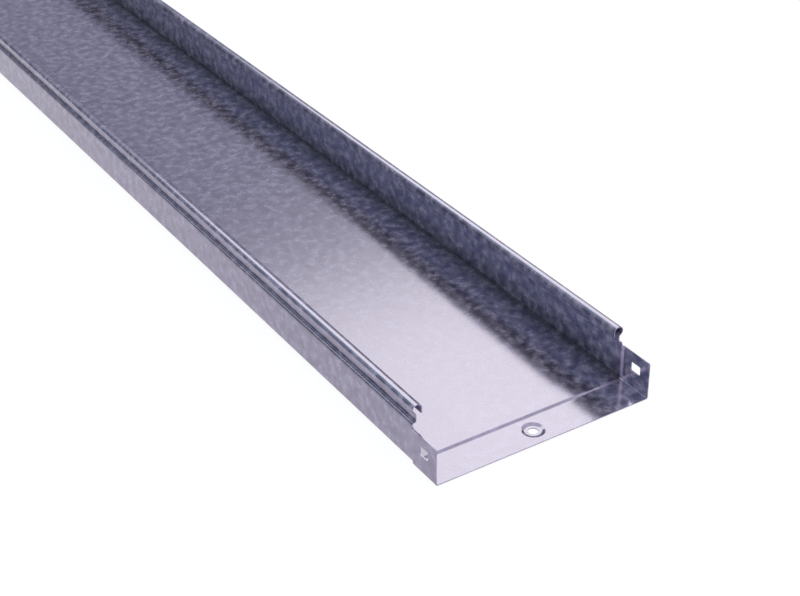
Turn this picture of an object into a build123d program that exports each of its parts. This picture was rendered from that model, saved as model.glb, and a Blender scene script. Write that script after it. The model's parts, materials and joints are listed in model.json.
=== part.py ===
from build123d import *
import os
from math import acos, degrees, sqrt

# Solid cable tray: one length of galvanised steel sheet, folded into a channel.
# Near its top each wall steps inward over a narrow ledge to a neck.
# Above the neck the sheet is rolled inward into a bead, which is open underneath.
# One end is widened into a socket, which takes the plain end of the next tray.
# X runs along the tray with the socket at +X, Y runs across it and Z points up.
# The origin is under the middle of the tray, level with its lowest point.

# Driving dimensions, in millimetres and degrees
TRAY_LENGTH = 2000
TRAY_WIDTH = 200  # over the outsides of the side walls
TRAY_DEPTH = 50  # from the floor up to the top of the beads
SHEET = 0.8
FOLD_RADIUS = 1.0  # on the inside of each fold

BEAD_RADIUS = 4.5  # on the outside of the rolled edge
BEAD_INSET = 0.2  # from the outside of the wall to the side of the bead
NECK_INSET = 3.3  # from the outside of the wall to the outside of the neck
LEDGE_DROP = 15.2  # from the top of the beads down to the ledge
LIP_LENGTH = 4.9  # straight down from the bead's inner side to the free edge

SOCKET_LENGTH = 30.6  # the straight part that the next tray enters
JOGGLE_LENGTH = 3.0  # the slanted step between tray and socket
SOCKET_CLEARANCE = 0.2  # between the nested sheets, on each side
SOCKET_WALL = 32.4  # top of the socket's walls above the tray's underside
END_CORNER_RADIUS = 1.5  # at the top corners of the socket's end

COUPLING_SETBACK = 16  # from the socket's end to its coupling holes
DIMPLE_RIM = 19  # diameter where the dimple leaves the floor
DIMPLE_FLAT = 14  # diameter of its flat bottom
DIMPLE_DEPTH = 1.2
DIMPLE_BEND = 1.5  # middle radius of the two bends round the dimple
BOLT_HOLE = 8
SIDE_HOLE_LENGTH = 11
SIDE_HOLE_HEIGHT = 7.8
SIDE_HOLE_CORNER = 0.8
SIDE_HOLE_LEVEL = 19  # middle of the hole above the tray's underside

# Levels and places that follow from them
socket_step = SHEET + SOCKET_CLEARANCE
tray_level = DIMPLE_DEPTH + socket_step
socket_level = tray_level - socket_step
floor_level = tray_level + SHEET
bead_top = floor_level + TRAY_DEPTH
socket_wall_top = tray_level + SOCKET_WALL
side_hole_middle = tray_level + SIDE_HOLE_LEVEL

plain_end = -TRAY_LENGTH / 2
socket_end = TRAY_LENGTH / 2
socket_start = socket_end - SOCKET_LENGTH
joggle_start = socket_start - JOGGLE_LENGTH

# Pushed fully into a socket, the plain end's coupling holes meet the socket's own
plain_setback = SOCKET_LENGTH - COUPLING_SETBACK
coupling_places = (plain_end + plain_setback, socket_end - COUPLING_SETBACK)

# The sheet's middle line, on which every section is drawn
fold_middle = FOLD_RADIUS + SHEET / 2
wall_middle = TRAY_WIDTH / 2 - SHEET / 2
ledge_middle = bead_top - LEDGE_DROP - SHEET / 2
neck_middle = TRAY_WIDTH / 2 - NECK_INSET - SHEET / 2
bead_middle = BEAD_RADIUS - SHEET / 2
bead_across = TRAY_WIDTH / 2 - BEAD_INSET - BEAD_RADIUS
bead_height = bead_top - BEAD_RADIUS

# The bend above the neck flares outward until it runs into the bead's own curve
flare_across = neck_middle + fold_middle
flare_reach = fold_middle + bead_middle
flare_side = flare_across - bead_across
flare_height = bead_height - sqrt(flare_reach**2 - flare_side**2)
flare_turn = degrees(acos(flare_side / flare_reach))
lip_across = bead_across - bead_middle

# The dimple's sheet is made with a flat border, as wide as its bend needs
dimple_reach = DIMPLE_RIM / 2 + DIMPLE_BEND
side_reach = TRAY_WIDTH / 2 + 2 * socket_step


def draw_channel(step):
    """Draw the floor and both walls up to the socket's height, moved outward by step."""
    level = tray_level - step + SHEET / 2
    wall = wall_middle + step
    with BuildLine() as half:
        FilletPolyline((0, level), (wall, level), (wall, socket_wall_top), radius=fold_middle)
    trace(half.line, line_width=SHEET)
    mirror(about=Plane.YZ)


# The tray, drawn as half a section, mirrored and drawn out along its length
with BuildPart() as tray:
    with BuildSketch(Plane.YZ.offset(plain_end)):
        with BuildLine():
            FilletPolyline(
                (0, tray_level + SHEET / 2),
                (wall_middle, tray_level + SHEET / 2),
                (wall_middle, ledge_middle),
                (neck_middle, ledge_middle),
                (neck_middle, flare_height),
                radius=fold_middle,
            )
            CenterArc((flare_across, flare_height), fold_middle, 180, -flare_turn)
            CenterArc((bead_across, bead_height), bead_middle, -flare_turn, 180 + flare_turn)
            Line((lip_across, bead_height), (lip_across, bead_height - LIP_LENGTH))
        trace(line_width=SHEET)
        mirror(about=Plane.YZ)
    extrude(amount=joggle_start - plain_end)

    # The joggle, where floor and walls step outward by one sheet and its clearance
    with BuildSketch(Plane.YZ.offset(joggle_start)):
        draw_channel(0)
    with BuildSketch(Plane.YZ.offset(socket_start)):
        draw_channel(socket_step)
    loft(ruled=True)

    # The socket, without ledge or bead so that the next tray's beads pass over it
    with BuildSketch(Plane.YZ.offset(socket_start)):
        draw_channel(socket_step)
    extrude(amount=SOCKET_LENGTH)
    end_edges = tray.edges().filter_by(Axis.Y).group_by(Axis.X)[-1]
    fillet(end_edges.group_by(Axis.Z)[-1], END_CORNER_RADIUS)

    # A dimple at each end nests into the next tray's and sinks the bolt's head
    for place, level in zip(coupling_places, (tray_level, socket_level)):
        with BuildSketch(Plane.XY.offset(level)):
            with Locations((place, 0)):
                Circle(dimple_reach)
        extrude(amount=SHEET, mode=Mode.SUBTRACT)
        with BuildSketch(Plane.XZ):
            with BuildLine():
                FilletPolyline(
                    (place + BOLT_HOLE / 2, level - DIMPLE_DEPTH + SHEET / 2),
                    (place + DIMPLE_FLAT / 2, level - DIMPLE_DEPTH + SHEET / 2),
                    (place + DIMPLE_RIM / 2, level + SHEET / 2),
                    (place + dimple_reach, level + SHEET / 2),
                    radius=DIMPLE_BEND,
                )
            trace(line_width=SHEET)
        revolve(axis=Axis((place, 0, 0), (0, 0, 1)))

    # A rectangular hole in each wall, beside each dimple
    with BuildSketch(Plane.XZ.offset(-side_reach)):
        with Locations(*[(place, side_hole_middle) for place in coupling_places]):
            RectangleRounded(SIDE_HOLE_LENGTH, SIDE_HOLE_HEIGHT, SIDE_HOLE_CORNER)
    extrude(amount=2 * side_reach, mode=Mode.SUBTRACT)

tray.part.label = "tray"
os.makedirs("parts", exist_ok=True)
export_step(tray.part, "parts/tray.step")
print("tray", tray.part.bounding_box(), "volume", round(tray.part.volume))
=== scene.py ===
# %% [markdown]
# # A solid cable tray in galvanised steel
# A cable tray is a long channel of thin steel that carries cables along walls and ceilings.
# This one is a single sheet: a flat floor, two low walls, and a rolled bead along each wall's top.
# One end is pressed a sheet's thickness wider, so that the next tray slides into it.
# The construction model is loaded first. It fixes every size.

import json
import math
from itertools import accumulate

import bpy
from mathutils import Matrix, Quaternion, Vector


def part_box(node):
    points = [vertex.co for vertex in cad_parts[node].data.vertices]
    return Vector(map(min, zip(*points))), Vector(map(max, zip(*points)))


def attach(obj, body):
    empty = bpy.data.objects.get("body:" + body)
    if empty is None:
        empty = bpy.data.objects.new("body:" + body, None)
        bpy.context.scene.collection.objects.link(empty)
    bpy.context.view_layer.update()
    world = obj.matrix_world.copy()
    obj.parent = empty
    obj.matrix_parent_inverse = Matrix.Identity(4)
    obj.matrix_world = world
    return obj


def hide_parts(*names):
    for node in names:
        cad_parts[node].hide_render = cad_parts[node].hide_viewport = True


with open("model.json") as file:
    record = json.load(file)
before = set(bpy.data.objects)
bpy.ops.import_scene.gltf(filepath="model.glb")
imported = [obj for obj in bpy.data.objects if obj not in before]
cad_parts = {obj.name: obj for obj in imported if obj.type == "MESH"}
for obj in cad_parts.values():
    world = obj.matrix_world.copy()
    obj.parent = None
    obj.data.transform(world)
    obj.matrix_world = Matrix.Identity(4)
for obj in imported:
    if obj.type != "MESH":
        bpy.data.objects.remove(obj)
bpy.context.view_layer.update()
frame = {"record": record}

# %% [markdown]
# ## Sizes
# Blender works in metres and sheet metal is drawn in millimetres, so one factor links the two.
# What the model already knows is read from it: its box, the floor's two levels and the bolt holes.
# The other sizes repeat the construction model's, each written where it is first needed.

# %% Read the model's sizes
MM = 0.001
mounts = {mount["name"]: mount for mount in frame["record"]["mounts"]}
tray_low, tray_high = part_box("tray")

plain_end = tray_low.x
socket_end = tray_high.x
underside = mounts["underside"]["pos_m"][2]
floor_top = mounts["floor"]["pos_m"][2]
sheet = floor_top - underside
bead_top = tray_high.z
bolt_middle = mounts["base_bolt_holes"]["pos_m"][0]
bolt_reach = mounts["base_bolt_holes"]["dims"]["spacing_x_mm"] / 2 * MM
bolt_places = (bolt_middle - bolt_reach, bolt_middle + bolt_reach)
bolt_radius = mounts["base_bolt_holes"]["dims"]["hole_r_mm"] * MM
print("sheet %.2f mm, bolt hole %.1f mm" % (sheet / MM, 2 * bolt_radius / MM))

# %% Place the socket
SOCKET_CLEARANCE = 0.2 * MM
SOCKET_LENGTH = 30.6 * MM
JOGGLE_LENGTH = 3.0 * MM

step = sheet + SOCKET_CLEARANCE
half_width = tray_high.y - step
socket_start = socket_end - SOCKET_LENGTH
joggle_start = socket_start - JOGGLE_LENGTH
print("half width %.1f mm, socket step %.2f mm" % (half_width / MM, step / MM))

# %% [markdown]
# ## The folded section as a walk
# A folding machine turns a flat strip into this section by bending it at a few places.
# The section can be drawn as an outline, but a walk says the same with fewer numbers.
# Start at the floor's middle, turn up the wall, step in over the ledge and go up the neck.
# There the sheet flares outward a little, rolls over inward and ends in a short straight lip.
# Each leg is a length and the angle that the sheet turns through along it.
# The walk follows the middle of the sheet, and its thickness is added afterwards.

# %% Work out where the section turns
FOLD_RADIUS = 1.0 * MM
BEAD_RADIUS = 4.5 * MM
BEAD_INSET = 0.2 * MM
NECK_INSET = 3.3 * MM
LEDGE_DROP = 15.2 * MM

fold_middle = FOLD_RADIUS + sheet / 2
bead_middle = BEAD_RADIUS - sheet / 2
wall_middle = half_width - sheet / 2
ledge_middle = bead_top - LEDGE_DROP - sheet / 2
neck_middle = half_width - NECK_INSET - sheet / 2
bead_across = half_width - BEAD_INSET - BEAD_RADIUS
bead_height = bead_top - BEAD_RADIUS
wall_low = underside + sheet / 2 + fold_middle

flare_side = neck_middle + fold_middle - bead_across
flare_reach = fold_middle + bead_middle
flare_height = bead_height - math.sqrt(flare_reach**2 - flare_side**2)
flare_turn = math.acos(flare_side / flare_reach)
bead_turn = math.pi + flare_turn
print("the bead rolls through %.0f degrees" % math.degrees(bead_turn))

# %% List the legs of the walk
QUARTER = math.pi / 2
LIP_LENGTH = 4.9 * MM
fold_run = fold_middle * QUARTER
LEGS = [
    (wall_middle - fold_middle, 0.0),
    (fold_run, QUARTER),
    (ledge_middle - fold_middle - wall_low, 0.0),
    (fold_run, QUARTER),
    (wall_middle - neck_middle - 2 * fold_middle, 0.0),
    (fold_run, -QUARTER),
    (flare_height - ledge_middle - fold_middle, 0.0),
    (fold_middle * flare_turn, -flare_turn),
    (bead_middle * bead_turn, bead_turn),
    (LIP_LENGTH, 0.0),
]
leg_ends = list(accumulate(length for length, turn in LEGS))
fold_start, fold_stop, wall_stop, _, _, neck_fold_stop = leg_ends[:6]
sheet_edge = leg_ends[-1]
print("half a blank is %.1f mm wide" % (sheet_edge / MM))


# %% Walk along the section
def walk(run):
    """Give the place across and above the floor after a distance along the sheet's middle."""
    across, height, heading = 0.0, underside + sheet / 2, 0.0
    for length, turn in LEGS:
        part = min(run, length)
        turned = turn * part / length
        if turn:
            radius = length / turn
            across += radius * (math.sin(heading + turned) - math.sin(heading))
            height += radius * (math.cos(heading) - math.cos(heading + turned))
        else:
            across += part * math.cos(heading)
            height += part * math.sin(heading)
        heading += turned
        run -= part
        if run <= 0:
            break
    return across, height


print("the lip ends %.1f mm above the model's lowest point" % (walk(sheet_edge)[1] / MM))

# %% [markdown]
# ## From flat blank to folded tray
# The real tray starts as a flat strip with its holes and notches punched, and is folded after.
# Here it is made the same way. A grid of points is laid out flat, along and across the blank.
# Each point is then carried to its folded place, so a hole stays true where the sheet bends.
# The joggle moves the socket's points outward by one step, and starts and stops smoothly.

# %% Mark the side holes and the socket's top on the blank
SIDE_HOLE = (11 * MM, 7.8 * MM)
SIDE_HOLE_LEVEL = 19 * MM
SOCKET_WALL = 32.4 * MM

hole_bottom = underside + SIDE_HOLE_LEVEL - SIDE_HOLE[1] / 2
hole_top = hole_bottom + SIDE_HOLE[1]
run_at_hole_bottom = fold_stop + hole_bottom - wall_low
run_at_hole_top = fold_stop + hole_top - wall_low
run_at_hole_middle = (run_at_hole_bottom + run_at_hole_top) / 2
run_at_socket_top = fold_stop + underside + SOCKET_WALL - wall_low
print("the side holes start %.1f mm from the blank's middle" % (run_at_hole_bottom / MM))


# %% Carry a point of the blank to its folded place
def smooth(value):
    """Ease from 0 to 1, flat at both ends."""
    value = min(max(value, 0.0), 1.0)
    return value * value * (3 - 2 * value)


def fold(along, run):
    """Carry a point, given along the tray and signed across the blank, to its folded place."""
    side = -1 if run < 0 else 1
    run = abs(run)
    across, height = walk(run)
    widening = step * smooth((along - joggle_start) / JOGGLE_LENGTH)
    across += widening * min(run / fold_start, 1.0)
    climb = (run - fold_stop) / (run_at_hole_bottom - fold_stop)
    height -= widening * (1 - min(max(climb, 0.0), 1.0))
    return Vector((along, side * across, height))


print("the socket's floor folds to %.1f mm high" % (fold(socket_end, 0).z / MM))

# %% [markdown]
# ## The blank's outline
# The rolled edges stop short of the socket, so the blank is narrower there.
# The cut turns its corner in a curve, because a sharp inner corner would tear in the rolling.
# The socket's outer corners are rounded too, so that they don't catch cables or hands.

# %% Find the edge of the blank at each place along the socket
END_CORNER_RADIUS = 1.5 * MM
relief_radius = wall_stop - run_at_socket_top


def round_off(radius, into):
    """Give how far a rounded corner cuts back, at a distance into it."""
    return radius - math.sqrt(radius**2 - min(into, radius) ** 2)


def socket_edge(along):
    """Give the run at which the socket's wall ends, at a place along the tray."""
    into_relief = joggle_start + relief_radius - along
    into_corner = along - (socket_end - END_CORNER_RADIUS)
    edge = run_at_socket_top
    if into_relief > 0:
        edge += round_off(relief_radius, into_relief)
    if into_corner > 0:
        edge -= round_off(END_CORNER_RADIUS, into_corner)
    return edge


def socket_run(along, run):
    """Squeeze the part of the wall above the side hole so that it ends at the socket's edge."""
    if run <= run_at_hole_top:
        return run
    share = (run - run_at_hole_top) / (wall_stop - run_at_hole_top)
    return run_at_hole_top + share * (socket_edge(along) - run_at_hole_top)


print("the notch's corner has a radius of %.1f mm" % (relief_radius / MM))

# %% [markdown]
# ## Grid lines
# Lines run close together where the sheet curves and far apart where it is flat.
# A line also lies on each edge of every hole, so that a hole is made by leaving faces out.


# %% Prepare to space the lines
def spread(start, stop, count):
    """Give evenly spaced values from start up to but not including stop."""
    return [start + (stop - start) * index / count for index in range(count)]


def arc_spread(start, stop, count):
    """Give values from start to stop, closer together near stop, for a rounded corner."""
    turns = [index / count * math.pi / 2 for index in range(count)]
    return [start + (stop - start) * math.sin(turn) for turn in turns]


GRID_DIGITS = 7


def in_order(values):
    """Sort values and drop those that are the same to a tenth of a micrometre."""
    return sorted(set(round(value, GRID_DIGITS) for value in values))


print("four cells over 8 mm start at", [round(value, 1) for value in spread(0, 8, 4)])

# %% Lay out the lines across the tray
BLOCK = 12 * MM
BETWEEN_CORNERS = 1.8 * MM
BESIDE_HOLE = (6.8 * MM, 9 * MM)
SIDE_HOLE_CORNER = 0.8 * MM
CELLS_ALONG_TRAY = 90
CELLS_ALONG_JOGGLE = 12
CELLS_ALONG_CORNER = 6

hole_half = SIDE_HOLE[0] / 2
corner_in = hole_half - SIDE_HOLE_CORNER


def lines_past_holes(centre):
    """Give the lines across the tray that a pair of side holes and a dimple need."""
    offsets = (BETWEEN_CORNERS, corner_in, hole_half, *BESIDE_HOLE, BLOCK)
    return [centre + side * offset for side in (-1, 1) for offset in offsets]


stations = [plain_end]
stations += lines_past_holes(bolt_places[0])
stations += spread(bolt_places[0] + 2 * BLOCK, joggle_start, CELLS_ALONG_TRAY)
stations += spread(joggle_start, socket_start, CELLS_ALONG_JOGGLE) + [socket_start]
stations += lines_past_holes(bolt_places[1])
stations += arc_spread(socket_end - END_CORNER_RADIUS, socket_end, CELLS_ALONG_CORNER)
stations = in_order(stations + [socket_end])
print(len(stations), "lines across the tray")

# %% Lay out the lines along the tray
BLOCK_CELLS = 6
FLOOR_CELLS = 10
FOLD_CELLS = 8
LOWER_WALL_CELLS = 4
UPPER_WALL_CELLS = 3
CELLS_ABOVE_WALL = (8, 1, 8, 2, 6, 32, 2)
CLEAR_OF_HOLE = 2 * MM

half_runs = spread(0.0, BLOCK, BLOCK_CELLS) + spread(BLOCK, fold_start, FLOOR_CELLS)
half_runs += spread(fold_start, fold_stop, FOLD_CELLS)
half_runs += spread(fold_stop, run_at_hole_bottom, LOWER_WALL_CELLS)
half_runs += [run_at_hole_bottom, run_at_hole_bottom + SIDE_HOLE_CORNER]
half_runs += [run_at_hole_middle]
half_runs += [run_at_hole_top - SIDE_HOLE_CORNER, run_at_hole_top]
half_runs += spread(run_at_hole_top + CLEAR_OF_HOLE, wall_stop, UPPER_WALL_CELLS)
for start, stop, count in zip(leg_ends[2:], leg_ends[3:], CELLS_ABOVE_WALL):
    half_runs += spread(start, stop, count)
half_runs = in_order(half_runs + [sheet_edge])
runs = sorted(set([-value for value in half_runs] + half_runs))
print(len(runs), "lines along the tray")

# %% [markdown]
# ## The floor's dimple
# A bolt through the floor joins two trays, and its head must not catch the cables pulled along.
# So the punch that makes the hole also presses the sheet down around it into a shallow dish.
# Rings of points from the square of grid lines to the hole give a true circle and smooth bends.

# %% Describe the dimple
DIMPLE_FLAT_RADIUS = 7.0 * MM
DIMPLE_RIM_RADIUS = 9.5 * MM
DIMPLE_DEPTH = 1.2 * MM
DIMPLE_SOFTENING = 0.5 * MM
RINGS_IN_MM = (10.4, 9.9, 9.4, 8.9, 8.4, 7.9, 7.4, 6.9, 6.4, 5.2)
DIMPLE_RINGS = [value * MM for value in RINGS_IN_MM] + [bolt_radius]


def dimple_drop(radius):
    """Give how far the sheet is pressed down at a distance from the bolt hole's middle."""
    reach = DIMPLE_RIM_RADIUS + DIMPLE_SOFTENING
    flat = DIMPLE_FLAT_RADIUS - DIMPLE_SOFTENING
    return DIMPLE_DEPTH * smooth((reach - radius) / (reach - flat))


def ring_point(place, radius, angle):
    """Give a ring's point: along the tray, across the blank, and how far it is pressed down."""
    return place + radius * math.cos(angle), radius * math.sin(angle), dimple_drop(radius)


print("at its hole the dimple is %.1f mm deep" % (dimple_drop(bolt_radius) / MM))

# %% [markdown]
# ## Build the sheet
# The blank is built as one surface with no thickness, and each point keeps its flat place as a UV.
# The finish is drawn in those flat places later, because zinc is laid on before the folding.

# %% Make points on the folded surface
EDGE = 1e-7
points, flat_places, faces = [], [], []
grid = {}


def add_point(along, run, drop=0.0):
    """Add a folded point and remember where it was on the flat blank."""
    place = fold(along, run)
    place.z -= drop
    points.append(place)
    flat_places.append((along, run))
    return len(points) - 1


def grid_point(column, row):
    """Give the point where two grid lines cross, made when it is first asked for."""
    if (column, row) not in grid:
        along, run = stations[column], runs[row]
        if along > joggle_start + EDGE:
            run = math.copysign(socket_run(along, abs(run)), run)
        grid[column, row] = add_point(along, run)
    return grid[column, row]


print("at most", len(stations) * len(runs), "grid points")


# %% Say which cells are cut away
def near_bolt(along):
    """Give the nearer of the two places where bolts go through."""
    return min(bolt_places, key=lambda place: abs(along - place))


def in_dimple(along, run):
    """Say whether a cell lies in the square that the rings of a dimple fill."""
    return abs(along - near_bolt(along)) < BLOCK and abs(run) < BLOCK


def in_side_hole(along, run):
    """Say whether a cell lies in the rectangle of a side hole."""
    beside = abs(along - near_bolt(along)) < hole_half
    return beside and run_at_hole_bottom < abs(run) < run_at_hole_top


def in_notch(along, run):
    """Say whether a cell is cut away above the socket's walls."""
    return along > joggle_start and abs(run) > wall_stop


print("the socket's middle is cut away above the wall:", in_notch(socket_start, sheet_edge))


# %% Find the corners of each cell
def cell_middle(column, row):
    """Give the middle of a cell, along the tray and across the blank."""
    along = (stations[column] + stations[column + 1]) / 2
    return along, (runs[row] + runs[row + 1]) / 2


def cell_corners(column, row):
    """Give the four corners of a cell, in order around it."""
    return [(column, row), (column + 1, row), (column + 1, row + 1), (column, row + 1)]


def hole_corner_triangle(column, row):
    """Give the part of a side hole's cell that stays, so that the hole's corner is cut across."""
    along, run = cell_middle(column, row)
    off_middle = along - near_bolt(along)
    above = abs(run) - run_at_hole_middle
    straight_half = (run_at_hole_top - run_at_hole_bottom) / 2 - SIDE_HOLE_CORNER
    if abs(off_middle) < corner_in or abs(above) < straight_half:
        return None
    outer_column = column + (off_middle > 0)
    outer_row = row + ((above > 0) == (run > 0))
    inner = (2 * column + 1 - outer_column, 2 * row + 1 - outer_row)
    return [corner for corner in cell_corners(column, row) if corner != inner]


print((len(stations) - 1) * (len(runs) - 1), "cells to fill or leave out")

# %% Fill the grid with faces
for column in range(len(stations) - 1):
    for row in range(len(runs) - 1):
        along, run = cell_middle(column, row)
        if in_notch(along, run) or in_dimple(along, run):
            continue
        corners = cell_corners(column, row)
        if in_side_hole(along, run):
            corners = hole_corner_triangle(column, row)
        if corners:
            faces.append([grid_point(*corner) for corner in corners])
print("the grid has", len(faces), "faces")

# %% [markdown]
# ## Round holes in a square grid
# The dimple and its bolt hole are round on the real tray, because a round punch makes them.
# A Boolean could cut them, but it leaves long thin faces that shade badly on a glossy dish.
# Here each ring has a point for every point of the square around it, so all its faces are even.

# %% Fill each dimple's square with rings
for place in bolt_places:
    near = BLOCK + EDGE
    columns = [index for index, along in enumerate(stations) if abs(along - place) < near]
    rows = [index for index, run in enumerate(runs) if abs(run) < near]
    border = [(column, rows[0]) for column in columns[:-1]]
    border += [(columns[-1], row) for row in rows[:-1]]
    border += [(column, rows[-1]) for column in reversed(columns[1:])]
    border += [(columns[0], row) for row in reversed(rows[1:])]
    angles = [math.atan2(runs[row], stations[column] - place) for column, row in border]
    outer = [grid_point(*key) for key in border]
    for radius in DIMPLE_RINGS:
        inner = [add_point(*ring_point(place, radius, angle)) for angle in angles]
        for index in range(len(border)):
            after = (index + 1) % len(border)
            faces.append([outer[index], outer[after], inner[after], inner[index]])
        outer = inner
print("the folded surface has", len(points), "points and", len(faces), "faces")

# %% [markdown]
# ## Give the sheet its thickness
# The Solidify modifier moves the surface half a sheet to each side and closes the cut edges.
# It could stay on the object, but with it applied the edges can be marked.
# Bends then shade smoothly while cut edges stay crisp, as on sheared steel.

# %% Make a mesh of the folded surface
blank = bpy.data.meshes.new("tray_sheet")
blank.from_pydata(points, [], faces)
flat_map = blank.uv_layers.new(name="flat_blank")
for loop in blank.loops:
    flat_map.data[loop.index].uv = flat_places[loop.vertex_index]
tray = bpy.data.objects.new("tray_sheet", blank)
bpy.context.collection.objects.link(tray)
print("the blank's mesh has", len(blank.polygons), "faces")

# %% Thicken it and mark its edges
CRISP_ANGLE = 40

thickness = tray.modifiers.new("sheet_thickness", "SOLIDIFY")
thickness.thickness = sheet
thickness.offset = 0
thickness.use_even_offset = True
thickness.use_quality_normals = True
bpy.context.view_layer.update()
evaluated = tray.evaluated_get(bpy.context.evaluated_depsgraph_get())
solid = bpy.data.meshes.new_from_object(evaluated)
tray.modifiers.clear()
tray.data = solid
solid.shade_smooth()
solid.set_sharp_from_angle(angle=math.radians(CRISP_ANGLE))
print("the tray has", len(solid.polygons), "faces")

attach(tray, "root")
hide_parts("tray")

# %% [markdown]
# ## Helpers for materials
# Colours are picked as sRGB hex values, as any paint program shows them.
# Blender's nodes expect linear light, so one function converts them.
# A second small function adds a node with its settings and its links in one call.


# %% Define the two helpers
def linear(code):
    """Turn an sRGB hex colour into linear red, green, blue and alpha."""
    channels = [int(code[index:index + 2], 16) / 255 for index in (1, 3, 5)]
    light = [c / 12.92 if c <= 0.04045 else ((c + 0.055) / 1.055) ** 2.4 for c in channels]
    return (*light, 1.0)


def node(tree, kind, settings=None, **inputs):
    """Add a node, set its properties, and link or set inputs by name or by number as in_0."""
    made = tree.nodes.new(kind)
    for name, value in (settings or {}).items():
        setattr(made, name, value)
    for name, value in inputs.items():
        key = int(name[3:]) if name.startswith("in_") else name.replace("_", " ")
        socket = made.inputs[key]
        if isinstance(value, bpy.types.NodeSocket):
            tree.links.new(value, socket)
        else:
            socket.default_value = value
    return made


print("middle grey #808080 is %.3f in linear light" % linear("#808080")[0])

# %% [markdown]
# ## Galvanised steel
# The strip is dipped in molten zinc before it is folded, which is called continuous galvanising.
# The zinc freezes into flat crystals called spangle, here about 3 mm across.
# Each crystal mirrors light at a slightly different angle, and a few stand a little steeper.
# A painted noise texture could draw that, but cells with their own tilt also bend reflections.
# Broad clouds, where the zinc ran a little thicker, vary the whole slightly.

# %% Draw the zinc's crystals and clouds on the flat blank
SPANGLE_SIZE = 3.0 * MM
SPANGLE_BLEND = 0.3
CLOUD_SIZE = 45 * MM

steel = bpy.data.materials.new("galvanised_steel")
steel.use_nodes = True
tree = steel.node_tree
tree.nodes.clear()
flat = node(tree, "ShaderNodeUVMap", {"uv_map": "flat_blank"}).outputs["UV"]
crystals = node(tree, "ShaderNodeTexVoronoi",
                {"voronoi_dimensions": "2D", "feature": "SMOOTH_F1"},
                Vector=flat, Scale=1 / SPANGLE_SIZE, Smoothness=SPANGLE_BLEND, Randomness=1.0)
crystal_parts = node(tree, "ShaderNodeSeparateColor", in_0=crystals.outputs["Color"])
clouds = node(tree, "ShaderNodeTexNoise", {"noise_dimensions": "2D"},
              Vector=flat, Scale=1 / CLOUD_SIZE, Detail=3.0, Roughness=0.55)
print("%.0f crystals fit along the tray" % ((socket_end - plain_end) / SPANGLE_SIZE))

# %% [markdown]
# ## The film of oxide
# Passing through rollers leaves the zinc glossy, but air soon puts a thin film of oxide on it.
# The film lies in soft spots and scatters part of the light.
# A second, rough material could be mixed in, but one metallic value a little under 1 does it.
# On a bright reflection the film hardly shows. In a dark one its spots and the crystals stand out.

# %% Spread the film and choose the zinc's colour
FILM_SPOT_SIZE = 9.0 * MM
FILM_FROM, FILM_TO = 0.35, 0.75
LEAST_ON_CRYSTAL, MOST_ON_CRYSTAL = 0.6, 1.4
BARE_ZINC = linear("#8D859B")
FILMED_ZINC = linear("#978FA6")

spots = node(tree, "ShaderNodeTexNoise", {"noise_dimensions": "2D"},
             Vector=flat, Scale=1 / FILM_SPOT_SIZE, Detail=2.0, Roughness=0.5)
spot_film = node(tree, "ShaderNodeMapRange",
                 Value=spots.outputs["Fac"], From_Min=FILM_FROM, From_Max=FILM_TO)
on_crystal = node(tree, "ShaderNodeMapRange", Value=crystal_parts.outputs["Green"],
                  To_Min=LEAST_ON_CRYSTAL, To_Max=MOST_ON_CRYSTAL)
film = node(tree, "ShaderNodeMath", {"operation": "MULTIPLY"},
            in_0=spot_film.outputs["Result"], in_1=on_crystal.outputs["Result"])
crystal_colour = node(tree, "ShaderNodeMix", {"data_type": "RGBA"},
                      in_0=film.outputs["Value"], in_6=BARE_ZINC, in_7=FILMED_ZINC)
print("bare zinc is", tuple(round(part, 3) for part in BARE_ZINC[:3]), "in linear light")

# %% Make the film scatter light
BARE = 0.93
FILMED = 0.6
CLOUD_FROM, CLOUD_TO = 0.3, 0.7
CLOUD_CHANGE = 0.03

crystal_bare = node(tree, "ShaderNodeMapRange",
                    Value=film.outputs["Value"], To_Min=BARE, To_Max=FILMED)
cloud_bare = node(tree, "ShaderNodeMapRange", Value=clouds.outputs["Fac"],
                  From_Min=CLOUD_FROM, From_Max=CLOUD_TO,
                  To_Min=-CLOUD_CHANGE, To_Max=CLOUD_CHANGE)
bare = node(tree, "ShaderNodeMath", {"operation": "ADD"},
            in_0=crystal_bare.outputs["Result"], in_1=cloud_bare.outputs["Result"])
print("before the clouds, metallic runs from", FILMED, "to", BARE)

# %% [markdown]
# ## Painted shade in the folds and on the ledge
# The zinc is darkened along the inner folds as painted shade, where a corner shades itself.
# The picture also shows the ledge under the bead darker from outside, so painted shade is put
# there as well.
# Shade could be painted by hand, but a distance measured on the flat blank follows a fold exactly.
# The painted shade fades out with that distance, and the folds of the socket have none.

# %% Measure how far each place lies from the fold and the ledge
surface = node(tree, "ShaderNodeNewGeometry")
flat_parts = node(tree, "ShaderNodeSeparateXYZ", Vector=flat)
from_middle = node(tree, "ShaderNodeMath", {"operation": "ABSOLUTE"},
                   in_0=flat_parts.outputs["Y"])
past_fold = node(tree, "ShaderNodeMath", {"operation": "SUBTRACT"},
                 in_0=from_middle.outputs["Value"], in_1=(fold_start + fold_stop) / 2)
from_fold = node(tree, "ShaderNodeMath", {"operation": "ABSOLUTE"},
                 in_0=past_fold.outputs["Value"])
past_ledge = node(tree, "ShaderNodeMath", {"operation": "SUBTRACT"},
                  in_0=from_middle.outputs["Value"], in_1=(wall_stop + neck_fold_stop) / 2)
from_ledge = node(tree, "ShaderNodeMath", {"operation": "ABSOLUTE"},
                  in_0=past_ledge.outputs["Value"])
print("the fold's middle is %.1f mm from the blank's" % ((fold_start + fold_stop) / 2 / MM))

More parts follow.
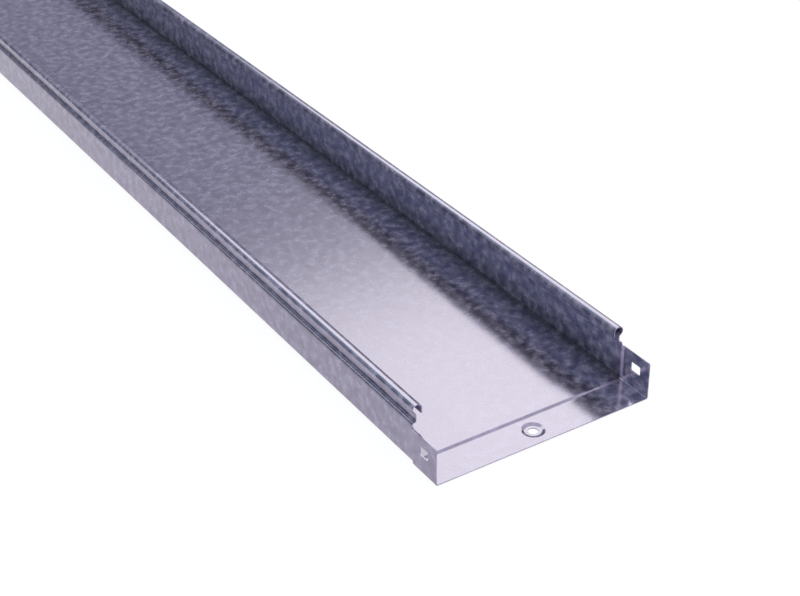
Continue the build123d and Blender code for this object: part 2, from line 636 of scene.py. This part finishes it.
# %% Paint shade into the inner folds
# Painted shade: how far it reaches from the inner fold and how dark it gets
FOLD_SHADE_REACH = 22 * MM
DARKEST_FOLD_SHADE = 0.5
BEND_CORE = 1.0 * MM
BEND_REACH = 2.4 * MM
SHADE_IN_BEND = 0.45

# Painted shade: the zinc's colour darkens towards the inner fold and most in the bend itself
fold_shade_falloff = node(tree, "ShaderNodeMapRange", Value=from_fold.outputs["Value"],
               From_Max=FOLD_SHADE_REACH, To_Min=DARKEST_FOLD_SHADE, To_Max=1.0)
bend_shade = node(tree, "ShaderNodeMapRange", Value=from_fold.outputs["Value"],
               From_Min=BEND_CORE, From_Max=BEND_REACH, To_Min=SHADE_IN_BEND, To_Max=1.0)
fold_painted_shade = node(tree, "ShaderNodeMath", {"operation": "MULTIPLY"},
                    in_0=fold_shade_falloff.outputs["Result"], in_1=bend_shade.outputs["Result"])
in_socket = node(tree, "ShaderNodeMapRange", Value=flat_parts.outputs["X"],
                 From_Min=joggle_start, From_Max=socket_start)
inner_painted_shade = node(tree, "ShaderNodeMix", in_0=in_socket.outputs["Result"],
               in_2=fold_painted_shade.outputs["Value"], in_3=1.0)
print("the folds are dull for %.0f mm on each side" % (FOLD_SHADE_REACH / MM))

# %% Paint shade on the outer ledge and join the two sides of the sheet
# Painted shade on the outer side of the ledge, under the bead: how wide and how dark it is
LEDGE_CORE = 1 * MM
LEDGE_REACH = 5 * MM
SHADE_ON_LEDGE = 0.5

outer_ledge_painted_shade = node(tree, "ShaderNodeMapRange", {"interpolation_type": "SMOOTHSTEP"},
                     Value=from_ledge.outputs["Value"],
                     From_Min=LEDGE_CORE, From_Max=LEDGE_REACH, To_Min=SHADE_ON_LEDGE, To_Max=1.0)

# The inner side of the sheet is the one that faces up or towards the tray's middle
side = node(tree, "ShaderNodeMath", {"operation": "SIGN"}, in_0=flat_parts.outputs["Y"])
towards_middle = node(tree, "ShaderNodeMath", {"operation": "MULTIPLY"},
                      in_0=side.outputs["Value"], in_1=-1.0)
inward = node(tree, "ShaderNodeCombineXYZ", Y=towards_middle.outputs["Value"], Z=1.0)
facing_in = node(tree, "ShaderNodeVectorMath", {"operation": "DOT_PRODUCT"},
                 in_0=surface.outputs["Normal"], in_1=inward.outputs["Vector"])
inside = node(tree, "ShaderNodeMath", {"operation": "GREATER_THAN"},
              in_0=facing_in.outputs["Value"], in_1=0.0)
# Painted shade: the inside takes the folds' shade, the outside the ledge's, and both darken the
# zinc's colour
painted_shade_level = node(tree, "ShaderNodeMix", in_0=inside.outputs["Value"],
                       in_2=outer_ledge_painted_shade.outputs["Result"], in_3=inner_painted_shade.outputs[0])
shaded_zinc_colour = node(tree, "ShaderNodeVectorMath", {"operation": "SCALE"},
                   in_0=crystal_colour.outputs[2], Scale=painted_shade_level.outputs[0])
print("on the ledge the zinc keeps %.0f%% of its brightness" % (100 * SHADE_ON_LEDGE))

# %% [markdown]
# ## Tilted crystals and the shader
# Each crystal's random colour, centred on zero, leans its normal a little.
# A bump map could do it, but it needs heights, and the crystals are flat.
# Cubing the lean keeps most crystals nearly level and leaves a few steep ones.

# %% Tilt the crystals
CRYSTAL_TILT = 0.003
HALF_CUBED = 0.5**3

centred = node(tree, "ShaderNodeVectorMath", {"operation": "SUBTRACT"},
               in_0=crystals.outputs["Color"], in_1=(0.5, 0.5, 0.5))
squared = node(tree, "ShaderNodeVectorMath", {"operation": "MULTIPLY"},
               in_0=centred.outputs["Vector"], in_1=centred.outputs["Vector"])
cubed = node(tree, "ShaderNodeVectorMath", {"operation": "MULTIPLY"},
             in_0=squared.outputs["Vector"], in_1=centred.outputs["Vector"])
tilt = node(tree, "ShaderNodeVectorMath", {"operation": "SCALE"},
            in_0=cubed.outputs["Vector"], Scale=CRYSTAL_TILT / HALF_CUBED)
tilted = node(tree, "ShaderNodeVectorMath", {"operation": "ADD"},
              in_0=surface.outputs["Normal"], in_1=tilt.outputs["Vector"])
crystal_normal = node(tree, "ShaderNodeVectorMath", {"operation": "NORMALIZE"},
                      in_0=tilted.outputs["Vector"])
print("crystals lean up to %.2f degrees along each axis" % math.degrees(CRYSTAL_TILT))

# %% Join it all in one shader
ROUGHNESS = 0.16

shader = node(tree, "ShaderNodeBsdfPrincipled",
              Base_Color=shaded_zinc_colour.outputs["Vector"], Metallic=bare.outputs["Value"],
              Roughness=ROUGHNESS, Normal=crystal_normal.outputs["Vector"])
node(tree, "ShaderNodeOutputMaterial", Surface=shader.outputs["BSDF"])
solid.materials.clear()
solid.materials.append(steel)
print("made", steel.name, "with", len(tree.nodes), "nodes")

# %% [markdown]
# ## The floor of the studio
# Catalogue pictures show such parts on plain white.
# A white floor gives that and a soft shadow, and its light from below brightens the outer walls.
# Part of its white is its own for the camera and the mirrors, so that it stays even to its edges.

# %% Make the white paper
PAPER_WHITE = linear("#F4F4F6")
OWN_WHITE = 0.88
WHITE_IN_MIRRORS = 0.88

paper = bpy.data.materials.new("white_studio_paper")
paper.use_nodes = True
tree = paper.node_tree
tree.nodes.clear()
path = node(tree, "ShaderNodeLightPath")
to_eye_or_gloss = node(tree, "ShaderNodeMath", {"operation": "MAXIMUM"},
                       in_0=path.outputs["Is Camera Ray"], in_1=path.outputs["Is Glossy Ray"])
seen = node(tree, "ShaderNodeMath", {"operation": "MAXIMUM"},
            in_0=to_eye_or_gloss.outputs["Value"], in_1=path.outputs["Is Transmission Ray"])
share = node(tree, "ShaderNodeMath", {"operation": "MULTIPLY"},
             in_0=seen.outputs["Value"], in_1=OWN_WHITE)
paper_strength = node(tree, "ShaderNodeMapRange",
                      Value=path.outputs["Is Camera Ray"], To_Min=WHITE_IN_MIRRORS, To_Max=1.0)
lit = node(tree, "ShaderNodeBsdfDiffuse", Color=PAPER_WHITE)
own = node(tree, "ShaderNodeEmission",
           Color=(1, 1, 1, 1), Strength=paper_strength.outputs["Result"])
both = node(tree, "ShaderNodeMixShader", in_0=share.outputs["Value"],
            in_1=lit.outputs["BSDF"], in_2=own.outputs["Emission"])
node(tree, "ShaderNodeOutputMaterial", Surface=both.outputs["Shader"])
print("made", paper.name, "with", len(tree.nodes), "nodes")

# %% Lay the paper out
FLOOR_HALF = 30

paper_corners = [(-FLOOR_HALF, -FLOOR_HALF, 0), (FLOOR_HALF, -FLOOR_HALF, 0),
                 (FLOOR_HALF, FLOOR_HALF, 0), (-FLOOR_HALF, FLOOR_HALF, 0)]
floor_mesh = bpy.data.meshes.new("studio_floor")
floor_mesh.from_pydata(paper_corners, [], [(0, 1, 2, 3)])
floor_mesh.materials.append(paper)
studio_floor = bpy.data.objects.new("studio_floor", floor_mesh)
bpy.context.collection.objects.link(studio_floor)
print("the studio floor is", 2 * FLOOR_HALF, "m square")

# %% [markdown]
# ## Light
# Polished metal shows what stands around it, so the light is drawn as a room and not as lamps.
# One broad soft light hangs behind the tray above a grey screen, and a small one stands left.
# The floor near the socket mirrors the broad light, and further along it mirrors the screen.
# That gives the long fade from bright to grey that the picture shows.
# The small light shows only where the sheet turns towards it, on the step in the right wall.
# The left wall is pale above and darker near the floor, which draws a dark line on each bead.
# A bright ceiling and bluish daylight in front fill the rest.

# %% Find the directions in the room
EASED = {"interpolation_type": "SMOOTHSTEP"}

room = bpy.data.worlds.new("studio_room")
bpy.context.scene.world = room
room.use_nodes = True
tree = room.node_tree
tree.nodes.clear()
direction = node(tree, "ShaderNodeTexCoord").outputs["Generated"]
parts = node(tree, "ShaderNodeSeparateXYZ", Vector=direction)
back = node(tree, "ShaderNodeMath", {"operation": "MULTIPLY"},
            in_0=parts.outputs["X"], in_1=-1.0)
climb = node(tree, "ShaderNodeMath", {"operation": "ARCTAN2"},
             in_0=parts.outputs["Z"], in_1=back.outputs["Value"])
print("climb is 0 degrees at the far end of the tray, 90 overhead and 180 beyond the socket")

# %% Mark the edges of the broad light, the low wall and the daylight
LIGHT_EDGE = (34.0, 36.5)
LIGHT_TOP = (48, 62)
LIGHT_SIDE = (-0.30, -0.12)
LOW_WALL_EDGE = (0.30, 0.43)
DAYLIGHT_EDGE = (108, 125)

to_right = node(tree, "ShaderNodeMapRange", EASED, Value=parts.outputs["Y"],
                From_Min=LIGHT_SIDE[0], From_Max=LIGHT_SIDE[1])
off_floor = node(tree, "ShaderNodeMapRange", EASED, Value=parts.outputs["Z"],
                 From_Min=LOW_WALL_EDGE[0], From_Max=LOW_WALL_EDGE[1])
over_edge = node(tree, "ShaderNodeMapRange", EASED, Value=climb.outputs["Value"],
                 From_Min=math.radians(LIGHT_EDGE[0]), From_Max=math.radians(LIGHT_EDGE[1]))
over_top = node(tree, "ShaderNodeMapRange", EASED, Value=climb.outputs["Value"],
                From_Min=math.radians(LIGHT_TOP[0]), From_Max=math.radians(LIGHT_TOP[1]))
in_front = node(tree, "ShaderNodeMapRange", EASED, Value=climb.outputs["Value"],
                From_Min=math.radians(DAYLIGHT_EDGE[0]),
                From_Max=math.radians(DAYLIGHT_EDGE[1]))
print("the broad light hangs from", LIGHT_EDGE[0], "to", LIGHT_TOP[1], "degrees up")

# %% Colour the room
PALE_WALL = linear("#A4C8DC")
LOW_WALL = linear("#7A817F")
SCREEN = linear("#AAB0BE")
CEILING = (1.12, 1.14, 1.14, 1.0)
DAYLIGHT = (1.5, 1.8, 2.2, 1.0)

left_wall = node(tree, "ShaderNodeMix", {"data_type": "RGBA"},
                 in_0=off_floor.outputs["Result"], in_6=LOW_WALL, in_7=PALE_WALL)
walls = node(tree, "ShaderNodeMix", {"data_type": "RGBA"},
             in_0=to_right.outputs["Result"], in_6=left_wall.outputs[2], in_7=SCREEN)
upper = node(tree, "ShaderNodeMix", {"data_type": "RGBA"},
             in_0=in_front.outputs["Result"], in_6=CEILING, in_7=DAYLIGHT)
room_colour = node(tree, "ShaderNodeMix", {"data_type": "RGBA"},
                   in_0=over_top.outputs["Result"],
                   in_6=walls.outputs[2], in_7=upper.outputs[2])
print("the screen is", tuple(round(part, 2) for part in SCREEN[:3]), "in linear light")

# %% Hang the two soft lights
LIGHT_COLOUR = (0.96, 1.0, 0.855, 1.0)
LIGHT_STRENGTH = 2.95
SIDE_LIGHT_TOWARDS = Vector((0.0, -0.85, 0.53)).normalized()
SIDE_LIGHT_STRENGTH = 3.0
SIDE_LIGHT_EDGE = (30, 20)

above_screen = node(tree, "ShaderNodeMath", {"operation": "SUBTRACT"},
                    in_0=over_edge.outputs["Result"], in_1=over_top.outputs["Result"])
in_light = node(tree, "ShaderNodeMath", {"operation": "MULTIPLY"},
                in_0=above_screen.outputs["Value"], in_1=to_right.outputs["Result"])
facing = node(tree, "ShaderNodeVectorMath", {"operation": "DOT_PRODUCT"},
              in_0=direction, in_1=SIDE_LIGHT_TOWARDS)
in_side_light = node(tree, "ShaderNodeMapRange", EASED, Value=facing.outputs["Value"],
                     From_Min=math.cos(math.radians(SIDE_LIGHT_EDGE[0])),
                     From_Max=math.cos(math.radians(SIDE_LIGHT_EDGE[1])))
room_light = node(tree, "ShaderNodeBackground", Color=room_colour.outputs[2], Strength=1.0)
back_light = node(tree, "ShaderNodeBackground", Color=LIGHT_COLOUR, Strength=LIGHT_STRENGTH)
side_light = node(tree, "ShaderNodeBackground",
                  Color=LIGHT_COLOUR, Strength=SIDE_LIGHT_STRENGTH)
with_back = node(tree, "ShaderNodeMixShader", in_0=in_light.outputs["Value"],
                 in_1=room_light.outputs["Background"], in_2=back_light.outputs["Background"])
surroundings = node(tree, "ShaderNodeMixShader", in_0=in_side_light.outputs["Result"],
                    in_1=with_back.outputs["Shader"], in_2=side_light.outputs["Background"])
node(tree, "ShaderNodeOutputWorld", Surface=surroundings.outputs["Shader"])
bpy.context.scene.view_settings.view_transform = "Standard"
print("made", room.name, "with", len(tree.nodes), "nodes")

# %% [markdown]
# ## Camera
# The camera looks down along the tray from beyond its socket end, as in the picture.
# Its place, its aim and its lens were worked out from the picture's straight edges.
# It leans a little less than a degree to one side.

# %% Place the camera
CAMERA_FROM_END = Vector((784.2, -623.2, 750.2)) * MM
AIM_FROM_END = Vector((-234.2, 17.3, 3.0)) * MM
CAMERA_LEAN = 0.769
PIXELS_WIDE = 800
LENS_IN_PIXELS = 1620.3
SENSOR = 36
NEAREST_SEEN, FARTHEST_SEEN = 0.05, 100

end = Vector((socket_end, 0, 0))
camera = bpy.data.objects.new("camera", bpy.data.cameras.new("camera"))
bpy.context.collection.objects.link(camera)
camera.data.sensor_width = SENSOR
camera.data.lens = LENS_IN_PIXELS * SENSOR / PIXELS_WIDE
camera.data.clip_start = NEAREST_SEEN
camera.data.clip_end = FARTHEST_SEEN
camera.location = end + CAMERA_FROM_END
looking = end + AIM_FROM_END - camera.location
camera.rotation_mode = "QUATERNION"
level = looking.to_track_quat("-Z", "Y")
camera.rotation_quaternion = level @ Quaternion((0, 0, 1), math.radians(-CAMERA_LEAN))
bpy.context.scene.camera = camera
print("lens %.1f mm" % camera.data.lens)
